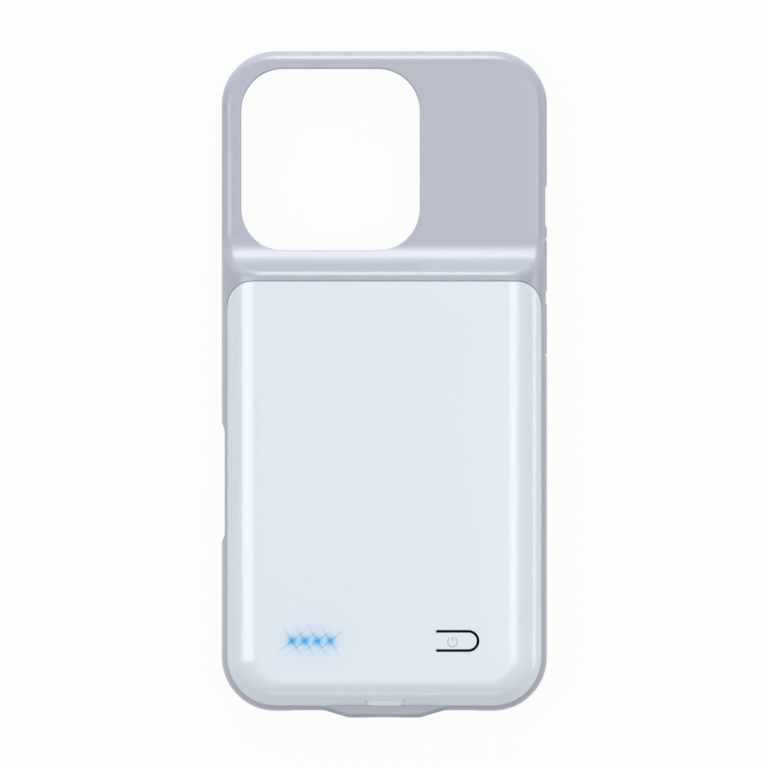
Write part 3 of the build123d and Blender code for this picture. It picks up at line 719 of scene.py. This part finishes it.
def contacts(name, profile, half_width, tip_y, low, high):
    """Row of gilded contact pairs at the tip of a connector's insert."""
    sizes = {"Columns": CONTACT_COUNT, "Rows": 1, "Column pitch": CONTACT_PITCH, "Row pitch": 0.0,
             "Finish": gilded}
    pair = contact_pair(name + "_pair", profile, half_width)
    tip = Vector((0, tip_y, (low.z + high.z) / 2))
    as_piece(name, repeated(name, pair, tip, sizes))


def cross_outline():
    """Corners of a cross around the origin."""
    corner = [(CROSS_ARM, -CROSS_HALF), (CROSS_ARM, CROSS_HALF), (CROSS_HALF, CROSS_HALF)]
    outline = []
    for cosine, sine in ((1, 0), (0, 1), (-1, 0), (0, -1)):
        outline += [(x * cosine - y * sine, x * sine + y * cosine) for x, y in corner]
    return outline


def ring_wall(work, low, high):
    """Faces between two rings of as many corners."""
    for here in range(len(low)):
        after = (here + 1) % len(low)
        work.faces.new((low[here], low[after], high[after], high[here]))


def crossed_screw(name, outline):
    """Screw standing on its head's face, turned from an outline, with a cross cut into the head."""
    segments = 40
    circle = aims(0, 360, segments)[:-1]
    work = bmesh.new()
    rings = []
    for radius, z in outline:
        rings.append([work.verts.new((radius * aim.x, radius * aim.y, z)) for aim in circle])
    for low, high in zip(rings, rings[1:]):
        ring_wall(work, low, high)
    work.faces.new(rings[-1])
    brim = [work.verts.new((x, y, 0)) for x, y in cross_outline()]
    sunk = [work.verts.new((x * CROSS_TAPER, y * CROSS_TAPER, CROSS_DEPTH)) for x, y in cross_outline()]
    rim = rings[0]
    rim_edges = [work.edges.get((rim[here - 1], rim[here])) for here in range(segments)]
    brim_edges = [work.edges.new((brim[here - 1], brim[here])) for here in range(len(brim))]
    bmesh.ops.triangle_fill(work, edges=rim_edges + brim_edges, use_beauty=True)
    ring_wall(work, brim, sunk)
    work.faces.new(sunk)
    bmesh.ops.triangulate(work, faces=[face for face in work.faces if len(face.verts) > 4])
    return closed_mesh(name, work)


def threaded(start, end):
    """Outline of a fine thread between two heights."""
    turns = int((end - start) / THREAD_PITCH)
    pitch = (end - start) / turns
    ridge = []
    for turn in range(turns):
        z = start + turn * pitch
        ridge += [(radius, z + share * pitch) for radius, share in THREAD_RIDGE]
    return ridge


def screws(node, head, tip_length, tip_radius, rows, head_up):
    """Screws of one node in two columns, in place of the node."""
    low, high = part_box(node)
    length = high.z - low.z
    tip_z = length - tip_length
    outline = head + threaded(THREAD_START, tip_z - THREAD_END) + [(CORE, tip_z), (tip_radius, length)]
    one = crossed_screw(node + "_one", outline)
    if head_up:
        one.transform(Matrix.Rotation(math.pi, 4, "X"))
    sizes = {"Columns": 2, "Rows": rows, "Column pitch": high.x - low.x - 2 * HEAD,
             "Row pitch": (high.y - low.y - 2 * HEAD) / max(rows - 1, 1), "Finish": finishes["screw_steel"]}
    middle = Vector((0, (low.y + high.y) / 2, high.z if head_up else low.z))
    as_piece(node + "_cut", repeated(node, one, middle, sizes), replaced=node)


piece_grid = grid_tree()
slot_seal()
root_web()
seam_bead()
contacts("plug_contacts", SPRING, SPRING_HALF, plug_high.y, plug_low, plug_high)
contacts("socket_contacts", PAD, PAD_HALF, socket_low.y, socket_low, socket_high)
screws("plate_screws", SUNK_HEAD, tip_length=0.15 * MM, tip_radius=0.3 * MM, rows=3, head_up=False)
screws("board_screws", FLAT_HEAD, tip_length=0.1 * MM, tip_radius=0.4 * MM, rows=1, head_up=True)
power_sign()


# Floor, light and camera

def white_floor():
    """Plain pale floor that shows white and keeps a soft shadow."""
    bpy.ops.mesh.primitive_plane_add(size=FLOOR_SIZE, location=(0, 0, floor_z - FLOOR_GAP))
    floor = bpy.context.object
    floor.name = "floor"
    finish, tree, shader = new_finish("floor_white")
    fit(tree, shader, {"Base Color": rgba((FLOOR_GREY, FLOOR_GREY, FLOOR_GREY)), "Roughness": 0.9})
    path = add(tree, "ShaderNodeLightPath")
    seen = calc(tree, "MAXIMUM", path.outputs["Is Camera Ray"], path.outputs["Is Glossy Ray"])
    seen = calc(tree, "MAXIMUM", seen, path.outputs["Is Transmission Ray"])
    white = add(tree, "ShaderNodeEmission")
    white.inputs["Strength"].default_value = 1.0
    mix = add(tree, "ShaderNodeMixShader")
    plug(tree, mix.inputs[0], times(tree, seen, FLOOR_WHITE))
    plug(tree, mix.inputs[1], shader.outputs[0])
    plug(tree, mix.inputs[2], white.outputs[0])
    plug(tree, tree.nodes["Material Output"].inputs["Surface"], mix.outputs[0])
    floor.data.materials.append(finish)


def room():
    """White room light that rises a little to one corner."""
    world = bpy.data.worlds.new("studio")
    bpy.context.scene.world = world
    world.use_nodes = True
    tree = world.node_tree
    x, y = axes(tree, "Generated")[:2]
    level = calc(tree, "ADD", ROOM_LEVEL, times(tree, x, ROOM_X))
    level = calc(tree, "ADD", level, times(tree, y, ROOM_Y))
    fit(tree, tree.nodes["Background"], {"Color": (1, 1, 1, 1), "Strength": level})


def panel(name, side, lean, distance, width, height, radiance):
    """Soft light panel that faces the case and isn't seen itself."""
    lamp = bpy.data.lights.new(name, "AREA")
    lamp.shape = "RECTANGLE"
    lamp.size = width
    lamp.size_y = height
    lamp.energy = radiance * math.pi * width * height
    holder = bpy.data.objects.new(name, lamp)
    bpy.context.scene.collection.objects.link(holder)
    turn = math.radians(side)
    tilt = math.radians(lean)
    aim = Vector((math.sin(tilt) * math.cos(turn), math.sin(tilt) * math.sin(turn), math.cos(tilt)))
    holder.location = aim * distance
    holder.rotation_euler = (-aim).to_track_quat("-Z", "Y").to_euler()
    holder.visible_camera = False
    return holder


def studio():
    """Panels for the highlights on flanks and ramp, some of them for the soft frame alone."""
    for settings in PANELS:
        panel(*settings)
    soft = bpy.data.collections.new("soft_skin")
    for name in SOFT_PIECES:
        soft.objects.link(bpy.data.objects[name])
    for *settings, mirrored in SOFT_PANELS:
        holder = panel(*settings)
        holder.visible_glossy = mirrored
        holder.light_linking.receiver_collection = soft


def photo_camera():
    """Camera straight above the case, far away, with a long lens."""
    data = bpy.data.cameras.new("photo_camera")
    data.lens = LENS
    data.sensor_width = SENSOR
    distance = PHOTO_WIDTH * LENS / SENSOR
    data.clip_end = 3 * distance
    camera = bpy.data.objects.new("photo_camera", data)
    camera.location = PHOTO_CENTRE + Vector((0, 0, top_z / 2 + distance))
    bpy.context.scene.collection.objects.link(camera)
    bpy.context.scene.camera = camera


white_floor()
room()
studio()
photo_camera()
bpy.context.scene.view_settings.view_transform = "Standard"
